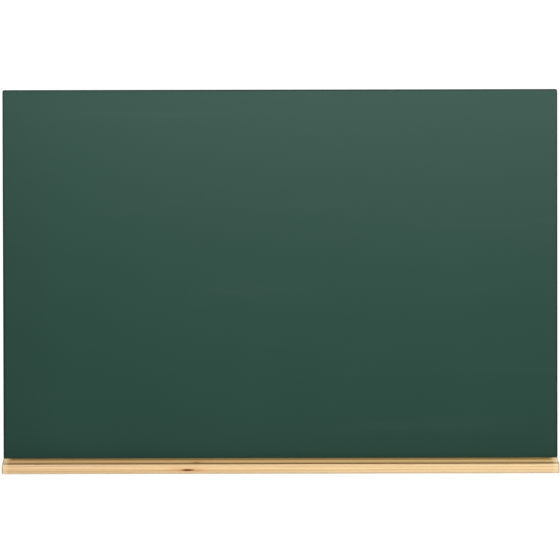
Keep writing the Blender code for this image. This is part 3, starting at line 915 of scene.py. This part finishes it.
def make_hangers(look):
    """At each side a pan-head screw, the curled strap that it holds, and the D-ring that swings in it."""
    low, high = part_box("hanger_screw_left")
    length = high.y - low.y - PAN_HEAD_HEIGHT
    screw = screw_mesh("pan_screw", pan_head(), PAN_SCREW_SHANK, length, PAN_THREAD_START)
    plate = plain_mesh("hanger_plate", skin(strap_rings()))
    ring = plain_mesh("d_ring", skin(ring_hoops(), loop=True))
    bore_radius = PAN_SCREW_SHANK + SCREW_CLEARANCE
    for side, pivot in HANGER_JOINTS.items():
        low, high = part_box(f"hanger_screw_{side}")
        middle = box_middle(low, high)
        seat = Matrix.Translation((middle.x, high.y - PAN_HEAD_HEIGHT, middle.z))
        seat = seat @ Matrix.Rotation(math.pi / 2, 4, "X")
        name = f"pan_screw_{side}"
        mesh = placed(screw, name, seat)
        add_piece(name, mesh, look, "board", f"hanger_screw_{side}")

        name = f"hanger_plate_{side}"
        bore = skin([hoop((0, 0, height), bore_radius) for height in (-BORE_REACH, BORE_REACH)])
        bore.transform(seat)
        mesh = carve(placed(plate, name, Matrix.Translation(pivot)), bore)
        add_piece(name, mesh, look, "board", f"hanger_strap_{side}")

        name = f"d_ring_{side}"
        mesh = placed(ring, name, Matrix.Translation(pivot))
        add_piece(name, mesh, look, f"ring_{side}", f"hanger_ring_{side}")


def make_bumpers(look):
    """Moulded rubber buttons with eased edges and a shallow dish in the face that meets the wall."""
    for side in ("left", "right"):
        low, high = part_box(f"wall_bumper_{side}")
        middle = box_middle(low, high)
        radius, height = (high.x - low.x) / 2, high.y - low.y
        foot_round, rim_round = BUMPER_FOOT_ROUND, BUMPER_RIM_ROUND
        foot = arc((radius - foot_round, foot_round), foot_round, -90, 0, ARRIS_STEPS)
        rim_centre = (radius - BUMPER_TAPER - rim_round, height - rim_round)
        rim = arc(rim_centre, rim_round, BUMPER_DRAFT, 90, ROUND_STEPS)
        dish = [
            (radius - DISH_RIM, height),
            (radius - DISH_RIM - DISH_SIDE, height - DISH_EDGE_DEPTH),
            (SMALLEST_RADIUS, height - DISH_DEPTH),
        ]
        profile = foot + rim + dish
        rings = [hoop((0, 0, rise), reach, BUMPER_SEGMENTS) for reach, rise in profile]
        name = f"rubber_button_{side}"
        mesh = plain_mesh(name, skin(rings))
        place = Matrix.Translation((middle.x, low.y, middle.z))
        mesh.transform(place @ Matrix.Rotation(-math.pi / 2, 4, "X"))
        add_piece(name, mesh, look, "board", f"wall_bumper_{side}")


def make_floor():
    """A pale round floor well below the board, which glows a little so that it stays light all over."""
    shape = bmesh.new()
    bmesh.ops.create_circle(
        shape, cap_ends=True, segments=FLOOR_SEGMENTS, radius=FLOOR_RADIUS
    )
    mesh = bpy.data.meshes.new("floor")
    shape.to_mesh(mesh)
    shape.free()
    g = Graph("floor_paint")
    tone = g.noise(g.place(), scale=9)
    colour = g.mix(tone, srgb(236, 236, 235), srgb(242, 242, 241))
    g.feed(g.shader.inputs["Emission Color"], colour)
    mesh.materials.append(g.finish(colour, 0.8, Emission_Strength=FLOOR_GLOW))
    floor = bpy.data.objects.new("floor", mesh)
    floor.location = (0, 0, LEDGE_LOW.z - FLOOR_DROP)
    bpy.context.scene.collection.objects.link(floor)


def make_world():
    """A white studio: pure white where the camera looks past the object, softer where it lights it."""
    world = bpy.data.worlds.new("studio")
    bpy.context.scene.world = world
    world.use_nodes = True
    tree = world.node_tree
    tree.nodes.clear()
    out = tree.nodes.new("ShaderNodeOutputWorld")
    seen = tree.nodes.new("ShaderNodeBackground")
    lit = tree.nodes.new("ShaderNodeBackground")
    choose = tree.nodes.new("ShaderNodeMixShader")
    path = tree.nodes.new("ShaderNodeLightPath")
    seen.inputs["Color"].default_value = (1, 1, 1, 1)
    seen.inputs["Strength"].default_value = BACKDROP_STRENGTH
    lit.inputs["Color"].default_value = (0.97, 0.985, 1.0, 1)
    lit.inputs["Strength"].default_value = WORLD_LIGHT
    tree.links.new(path.outputs["Is Camera Ray"], choose.inputs["Fac"])
    tree.links.new(lit.outputs[0], choose.inputs[1])
    tree.links.new(seen.outputs[0], choose.inputs[2])
    tree.links.new(choose.outputs[0], out.inputs["Surface"])


def add_light(name, place, size, watts, target=(0, 0, 0), colour=(1, 1, 1)):
    """A rectangular soft light, aimed at a target."""
    light = bpy.data.lights.new(name, "AREA")
    light.shape = "RECTANGLE"
    light.size, light.size_y = size
    light.energy = watts
    light.color = colour
    lamp = bpy.data.objects.new(name, light)
    lamp.location = place
    aim = Vector(target) - Vector(place)
    lamp.rotation_mode = "QUATERNION"
    lamp.rotation_quaternion = aim.to_track_quat("-Z", "Y")
    bpy.context.scene.collection.objects.link(lamp)


def make_lights():
    add_light(
        "key",
        place=(0.12, -1.0, 1.25),
        size=(2.2, 0.7),
        watts=40,
        target=(0, 0, 0.10),
        colour=(1.0, 0.99, 0.97),
    )
    add_light("front_softbox", place=(0.50, -3.2, 0.80), size=(3.0, 1.0), watts=30)
    add_light("right_fill", place=(3.2, -0.1, 0.9), size=(1.6, 1.4), watts=34)
    add_light("left_fill", place=(-3.2, -0.1, 0.9), size=(1.6, 1.4), watts=26)
    add_light("back_fill", place=(1.2, 2.2, 1.3), size=(1.8, 1.2), watts=40)


def make_camera():
    camera = bpy.data.cameras.new("camera")
    camera.sensor_width = SENSOR_WIDTH
    camera.lens = SENSOR_WIDTH * CAMERA_DISTANCE / FRAME_WIDTH_AT_BOARD
    camera.clip_start, camera.clip_end = CAMERA_CLIP
    viewer = bpy.data.objects.new("camera", camera)
    level = Matrix.Rotation(math.pi / 2 - CAMERA_PITCH, 4, "X")
    place = Matrix.Translation((CAMERA_SIDE, FRONT_Y - CAMERA_DISTANCE, CAMERA_HEIGHT))
    viewer.matrix_world = place @ level @ Matrix.Rotation(CAMERA_ROLL, 4, "Z")
    bpy.context.scene.collection.objects.link(viewer)
    bpy.context.scene.camera = viewer


def set_colour_handling():
    settings = bpy.context.scene.view_settings
    settings.view_transform = "Standard"
    settings.look = "None"
    settings.exposure = 0.0
    settings.gamma = 1.0


def dress_kept_nodes():
    """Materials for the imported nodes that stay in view."""
    band = band_plastic("band_plastic", srgb(20, 31, 26), srgb(30, 42, 36))
    # Painted light: the lower band is the same plastic as the other bands, painted lighter.
    lightened_lower_band = band_plastic("lower_band_plastic", srgb(30, 58, 48), srgb(36, 66, 54))
    rail = Softwood("rail_pine", "X", SAWN_PINE, SAWN_PINE_LATE).finish(0.70)
    stile = Softwood("stile_pine", "Z", SAWN_PINE, SAWN_PINE_LATE).finish(0.70)
    paper = honeycomb()
    dress(NODES["writing_sheet"], chalk_coating())
    dress(NODES["back_sheet"], plywood())
    for name, node in NODES.items():
        if name == "edge_band_bottom":
            dress(node, lightened_lower_band)
        elif name.startswith("edge_band"):
            dress(node, band)
        elif name.startswith("core_infill"):
            dress(node, paper)
        elif name.startswith("core_") and name.endswith("_rail"):
            dress(node, rail)
        elif name.startswith("core_"):
            dress(node, stile)


def build():
    set_colour_handling()
    make_camera()
    make_world()
    make_lights()
    make_floor()
    dress_kept_nodes()
    steel = zinc()
    make_ledge(ledge_pine())
    make_ledge_screws(steel)
    make_hangers(steel)
    make_bumpers(rubber())


build()
